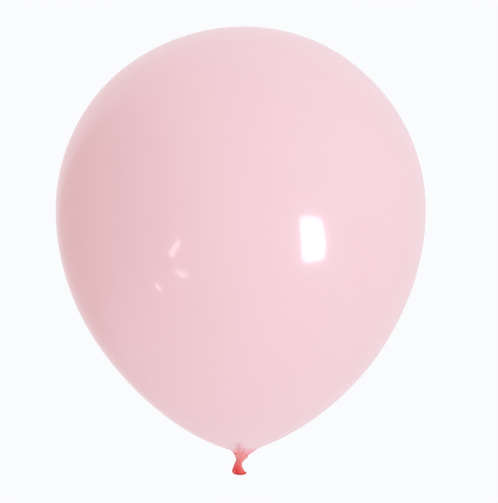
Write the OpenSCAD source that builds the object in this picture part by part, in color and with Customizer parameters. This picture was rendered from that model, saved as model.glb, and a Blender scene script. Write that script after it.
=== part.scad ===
// Inflated latex balloon with a tied neck.
// Millimetres, +Z up. The axis of the balloon is Z: crown at the top, knot and open tail at the bottom.
// The origin is the centre of the narrow waist under the knot, where a ribbon is tied.
// Latex bends anywhere. Here it bends at four places: where the throat meets the envelope, where
// the knot sits in the throat, and at the two ball ends of the strand that joins the knot to the tail.

/* [Envelope] */
// Width of the inflated envelope at its equator
balloon_w = 300; // [240:5:330]
// Height of the crown over the equator, as a share of half the width
crown_share = 0.99; // [0.95:0.01:1.05]
// Depth of the taper below the equator, as a share of half the width
taper_share = 1.31; // [1.2:0.01:1.4]
// Fullness of the taper: 1 is an ellipse, more is leaner
taper_power = 1.37; // [1.2:0.01:1.5]
// Wall of the envelope, drawn at the gauge of unstretched latex
skin_t = 0.3; // [0.3:0.05:0.5]

/* [Throat] */
// Radius of the ring where the envelope turns down into the throat
ring_r = 12; // [11.5:0.5:14]
// Wall of the puckered throat
throat_t = 0.75; // [0.6:0.05:0.9]

/* [Knot] */
// Height of the middle of the knot over the waist
knot_z = 7; // [6.8:0.1:7.2]
// Radius from the middle of the knot to the middle of its loop
loop_r = 3.6; // [3.5:0.05:3.65]
// Radius of the gathered band that makes the loop
band_r = 1.9; // [1.8:0.05:1.9]
// Lean of the loop, down to the right
loop_tilt = 25; // [0:1:30]
// Radius of the bight inside the loop
core_r = 4.9; // [4.6:0.1:4.9]

/* [Tail] */
// Radius of the waist that a ribbon is tied round
waist_r = 2.9; // [2.8:0.1:3]
// Length of the straight part of the waist
waist_h = 1.2; // [1:0.1:1.2]
// Half of the straight length of the mouth, along its long way
mouth_half = 3; // [2.5:0.1:3.2]
// Radius of the round ends of the mouth, to the middle of its rolled bead
mouth_r = 2.2; // [2:0.1:2.3]
// Radius of the rolled bead
bead_r = 0.7; // [0.5:0.05:0.8]
// Slope of the mouth, down to the right
mouth_slope = 22; // [15:1:24]
// Pitch of the mouth, near edge down
mouth_pitch = 35; // [25:1:38]

/* [Hidden] */
$fn = 96;

gap = 0.3;                           // clearance between pieces that turn against each other
fit = 0.05;                          // clearance between pieces that stay still
profile_step = 4;                    // degrees between points of the envelope's outline

eq_r = balloon_w / 2;
crown_h = crown_share * eq_r;
taper_h = taper_share * eq_r;
apex_z = 8.8;                        // where the taper would close, inside the knot
eq_z = apex_z + taper_h;
ring_angle = acos(pow(ring_r / eq_r, 1 / taper_power));
ring_z = eq_z - taper_h * sin(ring_angle);

throat_low_r = 6.65;                 // outside of the throat's lower lip
throat_low_z = 6;

nod_z = 3.2;                         // ball at the top of the strand, in a dish under the knot
swing_z = -2.4;                      // ball at the bottom of the strand, in a dish in the tail
ball_r = 1.7;
strand_stem = [1.1, 2.2];            // radius and height down the outline of the strand
strand_neck = [1.2, 1.6];
strand_end = [2, -1.3];

sleeve_top_r = 2.4;
sleeve_top_z = -3.8;
slab_t = 0.3;                        // thickness of the two ends that the sleeve is stretched between
mouth_at = [-0.8, 0, -6.9];
lip = 0.2;                           // the sleeve stops this far over the middle of the bead
pocket = 1;                          // depth of the open mouth

stretched = [0.95, 0.82, 0.85];
puckered = [0.96, 0.66, 0.67];
gathered = [0.95, 0.52, 0.52];
unstretched = [0.89, 0.33, 0.32];

// Points of the envelope's outline: b degrees below the equator, a degrees over it, and inset from the outside
function taper_point(b, inset) =
    [(eq_r - inset) * pow(cos(b), taper_power), eq_z - (taper_h - inset) * sin(b)];
function crown_point(a, inset) =
    [(eq_r - inset) * cos(a), eq_z + (crown_h - inset) * sin(a)];
function envelope_line(inset) = [
    for (k = [0 : floor(ring_angle / profile_step)])
        taper_point(ring_angle - k * profile_step, inset),
    for (a = [0 : profile_step : 90 - profile_step]) crown_point(a, inset),
    [0, eq_z + crown_h - inset],
];
function reversed(list) = [for (i = [len(list) - 1 : -1 : 0]) list[i]];

module envelope() {
    color(stretched)
        rotate_extrude()
            polygon(concat(envelope_line(0), reversed(envelope_line(skin_t))));
}

module throat() {
    top_r = ring_r - gap;
    color(puckered)
        rotate_extrude()
            polygon([
                [top_r, ring_z],
                [top_r - throat_t, ring_z],
                [throat_low_r - throat_t, throat_low_z],
                [throat_low_r, throat_low_z],
            ]);
}

module loop_ring(r) {
    translate([0, 0, knot_z])
        rotate([0, loop_tilt, 0])
            rotate_extrude()
                translate([loop_r, 0])
                    circle(r);
}

module knot_loop() {
    color(gathered) loop_ring(band_r);
}

// The bight that the loop is drawn tight round: a ball that the loop pinches to a waist
module knot_core() {
    color(gathered)
        difference() {
            translate([0, 0, knot_z]) sphere(core_r);
            loop_ring(band_r + fit);
            translate([0, 0, nod_z]) sphere(ball_r + gap);
        }
}

module neck_strand() {
    color(gathered) {
        rotate_extrude()
            polygon([
                [0, strand_stem[1]],
                strand_stem,
                strand_neck,
                [waist_r, waist_h / 2],
                [waist_r, -waist_h / 2],
                strand_end,
                [0, strand_end[1]],
            ]);
        for (z = [nod_z, swing_z])
            translate([0, 0, z]) sphere(ball_r);
    }
}

// Places its children in the plane of the mouth
module at_mouth() {
    translate(mouth_at)
        rotate([0, mouth_slope, 0])
            rotate([mouth_pitch, 0, 0])
                children();
}

// The mouth's outline as a slab, from low to high over its plane
module mouth_slab(r, low, high) {
    at_mouth()
        translate([0, 0, low])
            linear_extrude(high - low)
                hull()
                    for (side = [-1, 1])
                        translate([side * mouth_half, 0]) circle(r, $fn = 32);
}

// The bead's tube along the mouth: two round ends and two straight sides
module bead_tube(r) {
    at_mouth()
        for (side = [-1, 1]) {
            translate([side * mouth_half, 0, 0])
                rotate([0, 0, side * 90 - 180])
                    rotate_extrude(angle = 180)
                        translate([mouth_r, 0]) circle(r);
            translate([-mouth_half, side * mouth_r, 0])
                rotate([0, 90, 0]) cylinder(r = r, h = 2 * mouth_half);
        }
}

module tail_sleeve() {
    color(unstretched)
        difference() {
            hull() {
                translate([0, 0, sleeve_top_z]) cylinder(r = sleeve_top_r, h = slab_t, $fn = 32);
                mouth_slab(mouth_r, lip, lip + slab_t);
            }
            translate([0, 0, swing_z]) sphere(ball_r + gap);
            mouth_slab(mouth_r - bead_r / 2, -pocket, pocket);
            bead_tube(bead_r + fit);
        }
}

module rim_bead() {
    color(unstretched) bead_tube(bead_r);
}

envelope();
throat();
knot_loop();
knot_core();
neck_strand();
tail_sleeve();
rim_bead();
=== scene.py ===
"""Inflated pale pink latex balloon with a tied neck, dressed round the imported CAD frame.
Blender objects are in metres, +Z up. The balloon's shapes are worked out in millimetres."""
import math

import bpy
import numpy as np
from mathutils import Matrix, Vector


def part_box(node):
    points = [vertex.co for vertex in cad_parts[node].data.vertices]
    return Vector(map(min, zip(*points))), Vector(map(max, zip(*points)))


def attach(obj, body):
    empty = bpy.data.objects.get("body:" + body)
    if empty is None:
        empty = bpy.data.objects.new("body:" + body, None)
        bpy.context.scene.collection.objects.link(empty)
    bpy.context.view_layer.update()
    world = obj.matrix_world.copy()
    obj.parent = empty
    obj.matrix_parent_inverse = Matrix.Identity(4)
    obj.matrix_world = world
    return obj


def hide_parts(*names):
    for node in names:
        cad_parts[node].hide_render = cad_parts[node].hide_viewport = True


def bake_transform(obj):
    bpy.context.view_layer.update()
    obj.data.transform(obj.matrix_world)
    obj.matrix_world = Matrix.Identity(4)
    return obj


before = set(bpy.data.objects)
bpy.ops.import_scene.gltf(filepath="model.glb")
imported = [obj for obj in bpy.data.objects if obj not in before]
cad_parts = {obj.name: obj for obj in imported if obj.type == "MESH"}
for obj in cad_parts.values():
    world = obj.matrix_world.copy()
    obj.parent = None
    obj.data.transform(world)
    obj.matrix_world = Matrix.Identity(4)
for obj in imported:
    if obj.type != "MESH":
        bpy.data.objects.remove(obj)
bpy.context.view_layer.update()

MM = 0.001
TAU = 2 * math.pi

# The envelope's outline, as in the CAD: shares of the radius, and the fullness of the taper
CROWN_SHARE = 0.99
TAPER_SHARE = 1.31
TAPER_POWER = 1.37

envelope_low, envelope_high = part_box("envelope")
RADIUS = (envelope_high.x - envelope_low.x) / 2 / MM
EQUATOR_Z = envelope_high.z / MM - CROWN_SHARE * RADIUS
TAPER_H = TAPER_SHARE * RADIUS


# ---------------------------------------------------------------- curves and meshes


def smooth(x, low, high):
    """A smooth step from 0 at low to 1 at high. It falls instead when high is the smaller."""
    t = np.clip((x - low) / (high - low), 0, 1)
    return t * t * (3 - 2 * t)


def bump_at(x, centre, width):
    """1 at the centre, and falling to 0 over about width on both sides."""
    return np.exp(-(((x - centre) / width) ** 2))


def bezier(a, b, c, d, t):
    """A cubic Bezier between a and d, for arrays that broadcast against t."""
    s = 1 - t
    return s**3 * a + 3 * s * s * t * b + 3 * s * t * t * c + t**3 * d


def xyz(x, y, z):
    """Stacks coordinates, broadcast against each other, into points."""
    return np.stack(np.broadcast_arrays(x, y, z), axis=-1).astype(float)


def ring_angles(count):
    """Angles evenly round a ring. 0 points right and a quarter turn points away from the viewer."""
    return np.arange(count) * TAU / count


def mixed(pair, share):
    """Between the left value and the right value of a pair."""
    return pair[0] * (1 - share) + pair[1] * share


def through(keys, t):
    """A smooth curve through key rows of numbers, at each t from 0 to 1 (Catmull-Rom)."""
    keys = np.array(keys, float)
    padded = np.concatenate([2 * keys[:1] - keys[1:2], keys, 2 * keys[-1:] - keys[-2:-1]])
    spans = len(keys) - 1
    at = np.clip(np.asarray(t, float) * spans, 0, spans - 1e-9)
    i = at.astype(int)
    f = (at - i)[:, None]
    p0, p1, p2, p3 = (padded[i + k] for k in range(4))
    return 0.5 * (
        2 * p1
        + (p2 - p0) * f
        + (2 * p0 - 5 * p1 + 4 * p2 - p3) * f**2
        + (3 * p1 - p0 - 3 * p2 + p3) * f**3
    )


def grid_faces(rows, count, closed):
    """Quads between rings of points, and the fans that close both ends unless the rings join."""
    i = np.arange(rows if closed else rows - 1)[:, None]
    j = np.arange(count)[None, :]
    turn = (j + 1) % count
    here, after = i * count, (i + 1) % rows * count
    quads = np.stack([here + j, here + turn, after + turn, after + j], axis=-1)
    faces = quads.reshape(-1, 4).tolist()
    if not closed:
        first = rows * count
        base = first - count
        faces += [[first, (k + 1) % count, k] for k in range(count)]
        faces += [[first + 1, base + k, base + (k + 1) % count] for k in range(count)]
    return faces


def loft(name, rings, layers, closed=False):
    """A closed mesh through rings of points in millimetres, shape (rings, points, 3).
    A pole closes each end, or the last ring joins the first when closed is set.
    layers holds one number per point for each named attribute."""
    rows, count, _ = rings.shape
    points = rings.reshape(-1, 3)
    values = {k: np.broadcast_to(v, (rows, count)).reshape(-1) for k, v in layers.items()}
    if not closed:
        points = np.concatenate([points, [rings[0].mean(axis=0), rings[-1].mean(axis=0)]])
        values = {k: np.append(v, [v[:count].mean(), v[-count:].mean()]) for k, v in values.items()}
    mesh = bpy.data.meshes.new(name)
    mesh.from_pydata((points * MM).tolist(), [], grid_faces(rows, count, closed))
    mesh.update()
    rest = mesh.attributes.new("rest", "FLOAT_VECTOR", "POINT")
    rest.data.foreach_set("vector", (points * MM).astype(np.float32).ravel())
    for key, value in values.items():
        attribute = mesh.attributes.new(key, "FLOAT", "POINT")
        attribute.data.foreach_set("value", value.astype(np.float32))
    mesh.polygons.foreach_set("use_smooth", [True] * len(mesh.polygons))
    face_outward(mesh)
    obj = bpy.data.objects.new(name, mesh)
    bpy.context.scene.collection.objects.link(obj)
    return obj


def face_outward(mesh):
    """Turns the faces outward: a closed mesh whose normals point out has a positive volume."""
    mesh.calc_loop_triangles()
    co = np.array([v.co for v in mesh.vertices])
    corners = np.array([t.vertices for t in mesh.loop_triangles])
    a, b, c = co[corners[:, 0]], co[corners[:, 1]], co[corners[:, 2]]
    if np.einsum("ij,ij->i", a, np.cross(b, c)).sum() < 0:
        mesh.flip_normals()


def tube(centres, side, up, half_side, half_up, angles, ridge):
    """Rings round a path: at each centre an oval across it, with half sizes along two directions.
    ridge is the share by which each point stands out."""
    c, s = np.cos(angles)[None, :, None], np.sin(angles)[None, :, None]
    across = side[:, None] * half_side[:, None, None] * c
    along_up = up[:, None] * half_up[:, None, None] * s
    return centres[:, None] + (1 + ridge)[..., None] * (across + along_up)


def lean_frame(degrees):
    """Directions to the right, leaning down by degrees, then away from the viewer, and square to both."""
    lean = math.radians(degrees)
    along = np.array([math.cos(lean), 0, -math.sin(lean)])
    back = np.array([0.0, 1.0, 0.0])
    return along, back, np.cross(along, back)


# ---------------------------------------------------------------- envelope and throat

# Where the skin leaves the taper, where it bends, and where it ends in the knot: (left, right),
# as the neck turns down sharply on the left and slopes away on the right
LEAVE_R = (10.0, 16.5)
BEND_R, BEND_Z = (7.4, 9.4), (9.5, 8.6)
END_R, END_Z = (5.3, 5.6), (7.9, 6.0)
# How far the throat follows the taper's slope before it bends: (left, right)
FOLLOW = (2.4, 3.4)

# Folds round the neck, and their depth as a share of the radius near the knot and further out
PLEATS = 15
PLEAT_DEPTH = 0.075
RIPPLE_DEPTH = 0.012

# No balloon is quite even: how far this one sits to the right at its crown and low down, and where
CROWN_SHIFT, CROWN_FROM, CROWN_TO = 2.2, 310, 352
LOWER_SHIFT, LOWER_Z, LOWER_SPAN = 1.0, 62, 40

# The rubber is least stretched round this place in the knot, and fully stretched this far from it
GATHER_X, GATHER_Z = -1.2, 4.0
GATHER_NEAR, GATHER_FAR = 3, 26


def taper_height(radius):
    """Height of the taper at a radius from the axis."""
    return EQUATOR_Z - TAPER_H * np.sqrt(1 - (radius / RADIUS) ** (2 / TAPER_POWER))


def taper_slope(radius):
    """Rise of the taper for each millimetre outwards."""
    step = 0.01
    return (taper_height(radius + step) - taper_height(radius - step)) / (2 * step)


def pleat_wave(angle):
    """Uneven folds round the neck, between -1 and 1."""
    wobble = angle + 0.16 * np.sin(2 * angle + 0.7) + 0.09 * np.sin(5 * angle + 2.0)
    return 0.7 * np.cos(PLEATS * wobble) + 0.3 * np.cos((PLEATS - 4) * angle + 1.1)


def skin_outline(angles):
    """Radius and height of the skin from the crown down into the knot, one row per ring."""
    share = (1 + np.cos(angles)) / 2
    leave = mixed(LEAVE_R, share) + 0.8 * np.sin(3 * angles + 0.5) + 0.4 * np.sin(7 * angles)

    rise = np.radians(np.linspace(89, 0, 64))[:, None]
    crown_r = RADIUS * np.cos(rise) + 0 * angles
    crown_z = EQUATOR_Z + CROWN_SHARE * RADIUS * np.sin(rise) + 0 * angles

    lowest = np.arccos((leave / RADIUS) ** (1 / TAPER_POWER))
    fall = lowest * np.linspace(0, 1, 97)[1:, None] ** 0.9
    taper_r = RADIUS * np.cos(fall) ** TAPER_POWER
    taper_z = EQUATOR_Z - TAPER_H * np.sin(fall)

    # the throat goes on along the taper's slope at first, then turns down into the knot
    t = np.linspace(0, 1, 31)[1:, None]
    follow = mixed(FOLLOW, share)
    leave_z = taper_height(leave)
    end_r, end_z = mixed(END_R, share), mixed(END_Z, share)
    throat_r = bezier(leave, leave - follow, mixed(BEND_R, share), end_r, t)
    throat_z = bezier(leave_z, leave_z - follow * taper_slope(leave), mixed(BEND_Z, share), end_z, t)

    # its end tucks inwards, out of sight in the knot
    s = np.linspace(0, 1, 7)[1:, None]
    tuck_r = end_r * (1 - 0.9 * s)
    tuck_z = end_z - 0.8 * np.sin(math.pi * s) + 1.2 * s

    r = np.concatenate([crown_r, taper_r, throat_r, tuck_r])
    z = np.concatenate([crown_z, taper_z, throat_z, tuck_z])
    return r, z


def make_skin():
    """The blown skin and the funnel of pleats by which it reaches the knot."""
    angles = ring_angles(288)
    r, z = skin_outline(angles)
    wave = pleat_wave(angles)
    fold = PLEAT_DEPTH * smooth(r, 15, 7.5) + RIPPLE_DEPTH * smooth(r, 34, 12)
    r = r * (1 + fold * wave)
    x, y = r * np.cos(angles), r * np.sin(angles)
    shift = CROWN_SHIFT * smooth(z, CROWN_FROM, CROWN_TO)
    shift = shift + LOWER_SHIFT * bump_at(z, LOWER_Z, LOWER_SPAN)
    reach = np.sqrt((x - GATHER_X) ** 2 + y**2 + (z - GATHER_Z) ** 2)
    stretch = 0.5 + 0.5 * smooth(reach, GATHER_NEAR, GATHER_FAR) ** 0.85
    # painted shade in the troughs of the pleats near the neck
    painted_shade = 0.6 * np.clip(-wave, 0, 1) * smooth(r, 12, 7)
    layers = {"stretch": stretch, "painted_shade": painted_shade, "warmth": 0 * r}
    obj = loft("latex_skin", xyz(x + shift, y, z), layers)
    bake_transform(obj)
    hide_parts("envelope", "throat")
    return obj


# ---------------------------------------------------------------- knot

# The band goes once round this place, in a ring that leans down to the right by degrees
LOOP_AT = np.array([-0.1, 0.0, 6.6])
LOOP_LEAN = 24
# Half sizes of the ring: along its lean, and away from the viewer
LOOP_HALF = (4.5, 4.3)
# Half sizes of the band itself: outwards, and along the neck
BAND_HALF = (1.6, 2.1)
# Where the band starts and how far it goes round, in degrees
BAND_START, BAND_TURN = -118, 410
BIGHT_R = 4.5
BIGHT_DROP = 0.8


def make_loop():
    """The gathered band that goes once round the neck, its end tucked under its start."""
    along, back, square = lean_frame(LOOP_LEAN)
    t = np.linspace(0, 1, 150)
    turn = np.radians(BAND_START + BAND_TURN * t)
    # both ends of the band tuck in, its far end the most
    inward = 1 - 0.3 * smooth(t, 0.86, 1) - 0.1 * smooth(t, 0.1, 0)
    out = along * np.cos(turn)[:, None] + back * np.sin(turn)[:, None]
    centres = (
        LOOP_AT
        + along * (LOOP_HALF[0] * np.cos(turn) * inward)[:, None]
        + back * (LOOP_HALF[1] * np.sin(turn) * inward)[:, None]
        + square * (0.5 * np.cos(math.pi * t))[:, None]
    )
    ends = np.sqrt(np.clip(smooth(t, -0.02, 0.07) * smooth(t, 1.02, 0.92), 0.02, 1))
    swell = ends * (1 + 0.07 * np.sin(3 * turn + 0.6))
    angles = ring_angles(72)
    twisted = angles[None, :] + 0.5 * np.sin(turn)[:, None]
    wave = 0.6 * np.cos(9 * twisted) + 0.4 * np.cos(5 * twisted + 1.3)
    square_too = np.broadcast_to(square, out.shape)
    sizes = (BAND_HALF[0] * swell, BAND_HALF[1] * swell)
    rings = tube(centres, out, square_too, *sizes, angles, 0.05 * wave * ends[:, None])
    stretch = 0.6 + 0.05 * np.sin(2 * turn)[:, None]
    # painted shade in the troughs of the band's gathers
    layers = {"stretch": stretch, "painted_shade": 0.6 * np.clip(-wave, 0, 1), "warmth": 0.3 + 0 * wave}
    obj = loft("knot_wrap", rings, layers)
    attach(obj, "knot")
    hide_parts("knot_loop")
    return obj


def make_bight():
    """The gathered bight inside the loop: a puckered ball."""
    polar = np.radians(np.linspace(3, 177, 60))[:, None]
    angles = ring_angles(144)
    wave = 0.65 * np.cos(11 * angles + 0.4) + 0.35 * np.cos(7 * angles + 2)
    r = BIGHT_R * (1 + 0.06 * wave * np.sin(polar))
    rings = xyz(
        0.1 + r * np.sin(polar) * np.cos(angles),
        0.95 * r * np.sin(polar) * np.sin(angles),
        LOOP_AT[2] - BIGHT_DROP + r * np.cos(polar),
    )
    # painted shade in the troughs of the bight's puckers
    layers = {"stretch": 0.55 + 0 * r, "painted_shade": np.clip(-wave, 0, 1), "warmth": 0.2 + 0 * r}
    obj = loft("knot_bight", rings, layers)
    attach(obj, "knot")
    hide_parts("knot_core")
    return obj


# ---------------------------------------------------------------- strand and tail

# Down the strand: x, height, half width, half depth
STRAND = (
    (0.4, 7.2, 3.2, 3.1),
    (0.6, 5.4, 4.1, 3.5),
    (0.35, 3.8, 3.9, 3.4),
    (-0.15, 2.6, 3.45, 3.1),
    (-0.6, 1.6, 3.1, 2.9),
    (-0.9, 0.7, 2.6, 2.5),
    (-1.1, -0.4, 2.0, 1.9),
)
STRAND_RIDGE = 0.085

# The top of the tail: a ring round the end of the strand
WAIST_AT = np.array([-0.5, 0.0, 2.0])
WAIST_HALF = (2.9, 2.65)
# The rim: its middle, its lean down to the right in degrees, and half its width
RIM_AT = np.array([-0.6, 0.0, -5.75])
RIM_LEAN = 27
RIM_HALF = 5.35
# How far the near lip and the far lip hang down, and how far they stand out from the middle
NEAR_DROP, FAR_DROP = 4.2, 0.9
NEAR_OUT, FAR_OUT = 1.7, 2.0
# The fold in the near lip: its place and its width, as shares of half the rim
FOLD_AT, FOLD_W = -0.2, 0.2
BEAD_R = 0.55

# The tail's curves leave the waist and reach the rim by way of these offsets: (left, right)
LEAVE_X, LEAVE_Z = (-1.0, -2.7), (-2.3, -3.0)
REACH_X, REACH_Z = (0.0, -3.5), (2.8, 4.0)
# The inside of the mouth: its size as a share of the outside, and the ring at which it ends
INSIDE = (0.8, 0.62, 1.0)
INSIDE_FROM = 19


def strand_wave(angle):
    """Uneven lengthwise gathers, between -1 and 1."""
    return 0.6 * np.cos(10 * angle + 0.9) + 0.4 * np.cos(7 * angle + 2.2 + 0.4 * np.sin(angle))


def make_strand():
    """The gathered neck between the knot and the tail."""
    t = np.linspace(0, 1, 70)
    x, z, wide, deep = through(STRAND, t).T
    angles = ring_angles(120)
    wave = strand_wave(angles[None, :] + 0.25 * t[:, None])
    ends = np.sqrt(np.clip(smooth(t, -0.01, 0.05) * smooth(t, 1.0, 0.9), 0.01, 1))
    ridge = 1 + STRAND_RIDGE * wave
    rings = xyz(
        x[:, None] + (wide * ends)[:, None] * np.cos(angles) * ridge,
        (deep * ends)[:, None] * np.sin(angles) * ridge,
        z[:, None],
    )
    stretch = 0.42 + 0.12 * smooth(z, 0, 5)[:, None]
    # painted shade in the troughs of the strand's gathers
    layers = {"stretch": stretch, "painted_shade": np.clip(-wave, 0, 1), "warmth": 0.2 + 0 * wave}
    obj = loft("neck_strand_skin", rings, layers)
    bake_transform(obj)
    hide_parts("neck_strand")
    return obj


def rim_curve(angles):
    """The rolled edge: the near lip hangs lower than the far lip, most on the left, and is folded."""
    along, back, square = lean_frame(RIM_LEAN)
    c, s = np.cos(angles), np.sin(angles)
    near, far = np.clip(-s, 0, None), np.clip(s, 0, None)
    drop = NEAR_DROP * near**0.7 * (1 - 0.5 * c) + FAR_DROP * far
    fold = bump_at(c, FOLD_AT, FOLD_W)
    near_lip = NEAR_OUT * near**0.7 * (1 - 0.75 * fold)
    far_lip = FAR_OUT * far**0.8
    depth = far_lip - near_lip + 0.25 * np.sin(3 * angles + 0.5)
    return RIM_AT + along * (RIM_HALF * c)[:, None] + back * depth[:, None] - square * drop[:, None]


def make_tail():
    """The open end of the neck: it leaves the waist gathered and opens into a folded fan.
    The rings go down its outside to the rim, then back up its inside."""
    angles = ring_angles(160)
    share = (1 + np.cos(angles)) / 2
    wave = strand_wave(angles)
    rim = rim_curve(angles)
    waist = WAIST_AT + xyz(WAIST_HALF[0] * np.cos(angles), WAIST_HALF[1] * np.sin(angles), 0)
    leave = waist + xyz(mixed(LEAVE_X, share), 0, mixed(LEAVE_Z, share))
    arrive = rim * [1, 0.75, 1] + xyz(mixed(REACH_X, share), 0, mixed(REACH_Z, share))
    t = np.linspace(0, 1, 56)[:, None, None]
    outside = bezier(waist, leave, arrive, rim, t)
    middle = outside.mean(axis=1, keepdims=True)
    gather = 0.012 + 0.07 * smooth(t[..., 0], 0.95, 0.25)
    outside = middle + (outside - middle) * (1 + (gather * wave)[..., None])
    inside = (middle + (outside - middle) * INSIDE)[INSIDE_FROM:][::-1]
    rings = np.concatenate([outside, inside])

    # down is 0 at the waist and 1 at the rim and inside, across is -1 on the left and 1 on the right
    down = np.concatenate([t[..., 0] + 0 * wave, 1 + 0 * inside[..., 0]])
    across = (rings[..., 0] - RIM_AT[0]) / RIM_HALF
    warmth = smooth(across, -0.15, 0.4)
    stretch = 0.42 - 0.3 * smooth(down, 0.1, 0.7) + 0.13 * warmth * smooth(down, 0.3, 0.7)
    # painted shade in the gathers' troughs, along the fold of the near lip, and over the whole inside of
    # the mouth
    painted_shade = np.clip(-wave, 0, 1) * (1 - 0.6 * down) + bump_at(across, FOLD_AT, 0.13) * down
    painted_shade[len(outside):] = 1.0
    layers = {"stretch": stretch, "painted_shade": painted_shade, "warmth": warmth}
    obj = loft("tail_lip", rings, layers)
    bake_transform(obj)
    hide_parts("tail_sleeve")
    return obj


def make_bead():
    """The rolled rim, a tube along the edge of the tail."""
    path = ring_angles(160)
    centres = rim_curve(path)
    ahead = np.roll(centres, -1, axis=0) - np.roll(centres, 1, axis=0)
    ahead = ahead / np.linalg.norm(ahead, axis=1, keepdims=True)
    out = centres - centres.mean(axis=0)
    out = out - ahead * (out * ahead).sum(axis=1, keepdims=True)
    out = out / np.linalg.norm(out, axis=1, keepdims=True)
    angles = ring_angles(28)
    size = BEAD_R * (1 + 0.08 * np.sin(5 * path + 1) + 0.05 * np.sin(11 * path))
    roll = 0.03 * np.cos(4 * angles[None, :] + 6 * path[:, None])
    rings = tube(centres, out, np.cross(ahead, out), size, size, angles, roll)
    warmth = smooth(centres[:, 0], -2, 1)[:, None]
    # painted shade: the whole rolled rim is darkened as if in shadow
    layers = {"stretch": 0.05 + 0 * roll, "painted_shade": 1.3 + 0 * roll, "warmth": warmth}
    obj = loft("rolled_rim", rings, layers, closed=True)
    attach(obj, "tail")
    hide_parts("rim_bead")
    return obj


# ---------------------------------------------------------------- latex


class Nodes:
    """A node tree emptied for a material or a world, with short calls to add and join nodes."""

    def __init__(self, owner):
        owner.use_nodes = True
        self.tree = owner.node_tree
        self.tree.nodes.clear()

    def feed(self, socket, value):
        """Links another node's output to a socket, or sets the socket to a number or a colour."""
        if isinstance(value, bpy.types.NodeSocket):
            self.tree.links.new(value, socket)
        else:
            socket.default_value = value

    def add(self, kind, inputs, **settings):
        """A shader node with its settings, and with numbers or other nodes' outputs as inputs."""
        node = self.tree.nodes.new("ShaderNode" + kind)
        for key, value in settings.items():
            setattr(node, key, value)
        for key, value in inputs.items():
            self.feed(node.inputs[key], value)
        return node

    def maths(self, operation, *values):
        """One sum on numbers."""
        return self.add("Math", dict(enumerate(values)), operation=operation).outputs[0]

    def mix(self, factor, a, b, blend_type="MIX"):
        """Mixes two colours."""
        node = self.add("Mix", {}, data_type="RGBA", blend_type=blend_type)
        by_name = {s.identifier: s for s in node.inputs}
        self.feed(by_name["Factor_Float"], factor)
        self.feed(by_name["A_Color"], a)
        self.feed(by_name["B_Color"], b)
        return next(s for s in node.outputs if s.identifier == "Result_Color")

    def attribute(self, name, output="Fac"):
        """One of the attributes that loft gave the mesh."""
        return self.add("Attribute", {}, attribute_name=name).outputs[output]

    def noise(self, vector, scale, detail, roughness):
        """Soft noise from 0 to 1."""
        inputs = {"Vector": vector, "Scale": scale, "Detail": detail, "Roughness": roughness}
        return self.add("TexNoise", inputs).outputs["Fac"]

    def remap(self, value, low, high, to_low=0.0, to_high=1.0, kind="LINEAR"):
        """Carries a number from one range over to another."""
        inputs = {"Value": value, "From Min": low, "From Max": high, "To Min": to_low, "To Max": to_high}
        return self.add("MapRange", inputs, interpolation_type=kind).outputs[0]

    def ramp(self, factor, stops):
        """A colour that changes evenly between (place, colour) stops."""
        node = self.add("ValToRGB", {"Fac": factor})
        node.color_ramp.interpolation = "LINEAR"
        elements = node.color_ramp.elements
        while len(elements) < len(stops):
            elements.new(0.5)
        for element, (at, colour) in zip(elements, stops):
            element.position = at
            element.color = (*colour, 1)
        return node.outputs["Color"]

    def along(self, vector, way):
        """How far a vector goes along a fixed way."""
        return self.add("VectorMath", {0: vector, 1: way}, operation="DOT_PRODUCT").outputs["Value"]

    def finish(self, shader, kind="OutputMaterial"):
        """Ends the tree with a shader."""
        self.feed(self.add(kind, {}).inputs["Surface"], shader)


# The rubber's colour against how far it is stretched: coral red at rest, pale pink when blown thin
STRETCH_COLOURS = (
    (0.0, (0.82, 0.07, 0.065)),
    (0.14, (0.95, 0.1, 0.105)),
    (0.42, (1.0, 0.28, 0.285)),
    (0.6, (1.0, 0.42, 0.44)),
    (0.78, (0.94, 0.55, 0.6)),
    (1.0, (0.925, 0.715, 0.74)),
)
# What the colour is multiplied by where the rubber is warm, and by painted shade in its creases, folds
# and hollows, and how strongly
WARM, WARM_SHARE = (0.98, 1.14, 0.68, 1), 0.75
PAINTED_SHADE_TINT, PAINTED_SHADE_SHARE = (0.84, 0.52, 0.5, 1), 0.35

# Broad clouding and fine grain: scale, detail and roughness of the noise
CLOUD = (9.0, 3.0, 0.5)
GRAIN = (240.0, 4.0, 0.6)
# How far the clouding shifts the stretch, and the share by which it varies the roughness
CLOUD_SHIFT, CLOUD_GLOSS = 0.03, 0.15
GRAIN_STRENGTH, GRAIN_DEPTH = 0.04, 0.0002
SPECULAR = 0.3
COAT_ROUGHNESS = 0.083


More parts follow.
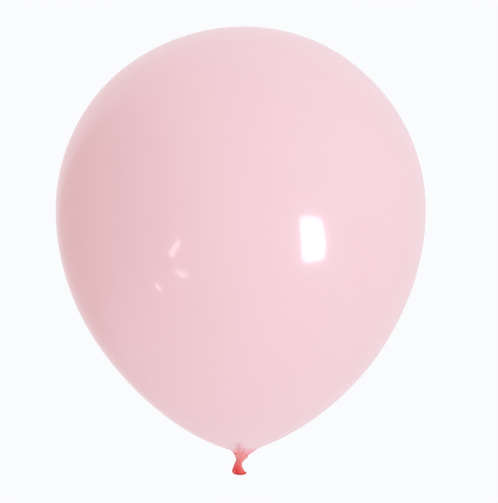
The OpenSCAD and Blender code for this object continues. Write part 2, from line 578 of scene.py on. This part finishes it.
def make_latex(name, glow, roughness, coat):
    """Latex: dyed through, a little cloudy and uneven, and lit from behind as well as from the front."""
    material = bpy.data.materials.new(name)
    n = Nodes(material)
    rest = n.attribute("rest", "Vector")
    cloud = n.noise(rest, *CLOUD)
    grain = n.noise(rest, *GRAIN)
    shift = n.remap(cloud, 0.0, 1.0, -CLOUD_SHIFT, CLOUD_SHIFT)
    stretch = n.maths("ADD", n.attribute("stretch"), shift)
    colour = n.ramp(stretch, STRETCH_COLOURS)
    colour = n.mix(n.maths("MULTIPLY", n.attribute("warmth"), WARM_SHARE), colour, WARM, "MULTIPLY")
    # painted shade: the colour is darkened in the creases, the tail's fold and inside, and over the
    # rolled rim
    colour = n.mix(n.maths("MULTIPLY", n.attribute("painted_shade"), PAINTED_SHADE_SHARE), colour, PAINTED_SHADE_TINT, "MULTIPLY")
    relief = {"Height": grain, "Strength": GRAIN_STRENGTH, "Distance": GRAIN_DEPTH}
    bump = n.add("Bump", relief).outputs["Normal"]
    rough_low, rough_high = roughness * (1 - CLOUD_GLOSS), roughness * (1 + CLOUD_GLOSS)
    surface = {
        "Base Color": colour,
        "Roughness": n.remap(cloud, 0.2, 0.8, rough_low, rough_high),
        "Specular IOR Level": SPECULAR,
        "Coat Weight": coat,
        "Coat Roughness": COAT_ROUGHNESS,
        "Normal": bump,
    }
    front = n.add("BsdfPrincipled", surface).outputs[0]
    back = n.add("BsdfTranslucent", {"Color": colour}).outputs[0]
    n.finish(n.add("MixShader", {0: glow, 1: front, 2: back}).outputs[0])
    return material


# ---------------------------------------------------------------- studio

# The backdrop and floor, the room, and the room's dimmer and warmer left side
PAPER = (0.956, 0.965, 0.983, 1)
ROOM = (0.99, 0.975, 1.0, 1)
ROOM_LEFT = (0.73, 0.51, 0.475, 1)
# The ways to the dim side and to the bright side behind, and the cosines where each starts and is full
DIM_WAY, DIM_FROM, DIM_FULL = Vector((-0.97, 0.0, -0.24)).normalized(), 0.15, 0.9
BRIGHT_WAY, BRIGHT_FROM, BRIGHT_FULL = Vector((0.0, 0.8, 0.6)), 0.69, 0.79

FLOOR_Z = -2.5
FLOOR_R = 7.0
FLOOR_PLAIN_R = 3.0

MIDDLE = Vector((0, 0, EQUATOR_Z * MM))
LAMP_DISTANCE = 2.4
PANEL_DISTANCE = 1.64
# How much of each side of a panel its rounded corners take up
PANEL_ROUNDING = 0.25

# Name, azimuth and elevation in degrees, diameter in metres, watts, colour
LAMPS = (
    ("key", 45, 42, 1.4, 9.4, (0.78, 0.9, 1.12)),
    ("fill", 5, -14, 2.0, 4.2, (1, 1, 1)),
    ("low_fill", 35, -50, 1.6, 6.0, (0.9, 0.92, 1.1)),
)
WHITE = (1, 1, 1, 1)
COOL = (0.95, 0.9, 1.0, 1)
# Name, azimuth and elevation in degrees, corners in degrees right of and above that, strength, colour
PANELS = (
    ("softbox", 44.3, -12.7, ((-10.8, 9.7), (3.8, 9.1), (10.0, -8.3), (-5.2, -11.7)), 14.0, COOL),
    ("lamp_long", -40.0, -17.2, ((-4.6, -2.0), (-2.4, -4.4), (4.2, 1.8), (2.6, 3.9)), 8.0, WHITE),
    ("lamp_low", -38.6, -28.6, ((-4.8, 0.2), (2.4, -2.4), (4.0, 0.0), (-3.0, 2.2)), 7.0, WHITE),
    ("lamp_far", -58.0, -32.2, ((-2.2, -0.4), (0.6, -2.4), (2.2, -0.2), (-0.6, 2.0)), 7.5, WHITE),
)

CAMERA_AT = (0.0067, -2.044, 0.1715)
LENS, SENSOR = 180, 36


def make_floor():
    """A plain pale floor well below the balloon, which fades out at its edge."""
    bpy.ops.mesh.primitive_circle_add(
        vertices=96, radius=FLOOR_R, fill_type="TRIFAN", location=(0, 0, FLOOR_Z)
    )
    floor = bpy.context.object
    floor.name = "studio_floor"
    material = bpy.data.materials.new("studio_paper")
    n = Nodes(material)
    here = n.add("TexCoord", {}).outputs["Object"]
    away = n.add("VectorMath", {0: here}, operation="LENGTH").outputs["Value"]
    fade = n.remap(away, FLOOR_PLAIN_R, FLOOR_R - 0.1, kind="SMOOTHSTEP")
    paper = n.add("BsdfDiffuse", {"Color": PAPER}).outputs[0]
    clear = n.add("BsdfTransparent", {}).outputs[0]
    n.finish(n.add("MixShader", {0: fade, 1: paper, 2: clear}).outputs[0])
    floor.data.materials.append(material)


def make_world():
    """Soft light from a pale room, dimmer and warmer on the left but not high up behind.
    The camera sees plain paper instead."""
    world = bpy.data.worlds.new("studio_room")
    bpy.context.scene.world = world
    n = Nodes(world)
    way = n.add("TexCoord", {}).outputs["Generated"]
    left = n.remap(n.along(way, DIM_WAY), DIM_FROM, DIM_FULL, kind="SMOOTHSTEP")
    aside = n.remap(n.along(way, BRIGHT_WAY), BRIGHT_FROM, BRIGHT_FULL, 1.0, 0.0, kind="SMOOTHSTEP")
    room = n.mix(n.maths("MULTIPLY", left, aside), ROOM, ROOM_LEFT)
    lit = n.add("Background", {"Color": room}).outputs[0]
    seen = n.add("Background", {"Color": PAPER}).outputs[0]
    from_camera = n.add("LightPath", {}).outputs["Is Camera Ray"]
    n.finish(n.add("MixShader", {0: from_camera, 1: lit, 2: seen}).outputs[0], "OutputWorld")


def direction(azimuth, elevation):
    """The way to a light as seen from the balloon.
    Azimuth 0 is the viewer's side, and it grows to the right."""
    a, e = math.radians(azimuth), math.radians(elevation)
    return Vector((math.sin(a) * math.cos(e), -math.cos(a) * math.cos(e), math.sin(e)))


def aim(obj, way, distance):
    """Puts a light at a distance from the middle of the balloon, facing it."""
    obj.location = MIDDLE + way * distance
    obj.rotation_mode = "QUATERNION"
    obj.rotation_quaternion = way.to_track_quat("Z", "Y")


def rounded(corners, share):
    """Points round a polygon with its corners rounded off over a share of each side."""
    points = []
    for k, corner in enumerate(corners):
        here, before, after = (np.array(corners[i % len(corners)]) for i in (k, k - 1, k + 1))
        t = np.linspace(0, 1, 8)[:, None]
        start, end = here + (before - here) * share, here + (after - here) * share
        points += (start * (1 - t) ** 2 + 2 * here * t * (1 - t) + end * t**2).tolist()
    return points


def make_panel(name, azimuth, elevation, corners, strength, colour):
    """A glowing panel that faces the balloon and shows only as a reflection in it."""
    flat = rounded(np.radians(corners) * PANEL_DISTANCE, PANEL_ROUNDING)
    outline = [(x, y, 0) for x, y in flat]
    mesh = bpy.data.meshes.new(name)
    mesh.from_pydata(outline, [], [list(range(len(outline)))])
    panel = bpy.data.objects.new(name, mesh)
    bpy.context.scene.collection.objects.link(panel)
    aim(panel, direction(azimuth, elevation), PANEL_DISTANCE)
    material = bpy.data.materials.new(name)
    n = Nodes(material)
    n.finish(n.add("Emission", {"Color": colour, "Strength": strength}).outputs[0])
    mesh.materials.append(material)
    panel.visible_camera = False
    panel.visible_diffuse = False
    panel.visible_shadow = False


def make_lamp(name, azimuth, elevation, size, power, colour):
    """A large soft lamp with no reflection of its own."""
    data = bpy.data.lights.new(name, "AREA")
    data.shape = "DISK"
    data.size = size
    data.energy = power
    data.color = colour
    lamp = bpy.data.objects.new(name, data)
    bpy.context.scene.collection.objects.link(lamp)
    aim(lamp, direction(azimuth, elevation), LAMP_DISTANCE)
    lamp.visible_glossy = False


def make_camera():
    """Level with the middle of the balloon and straight on, far enough back to flatten it."""
    data = bpy.data.cameras.new("camera")
    data.lens = LENS
    data.sensor_width = SENSOR
    camera = bpy.data.objects.new("camera", data)
    bpy.context.scene.collection.objects.link(camera)
    camera.location = CAMERA_AT
    camera.rotation_euler = (math.radians(90), 0, 0)
    bpy.context.scene.camera = camera


# ---------------------------------------------------------------- the whole scene

make_camera()
make_floor()
make_world()
for lamp in LAMPS:
    make_lamp(*lamp)
for panel in PANELS:
    make_panel(*panel)

skin = make_skin()
skin.data.materials.append(make_latex("latex_blown", glow=0.3, roughness=0.24, coat=0.8))

gathered = make_latex("latex_gathered", glow=0.3, roughness=0.3, coat=0.5)
for make in (make_loop, make_bight, make_strand, make_tail, make_bead):
    make().data.materials.append(gathered)

bpy.context.scene.view_settings.view_transform = "Standard"
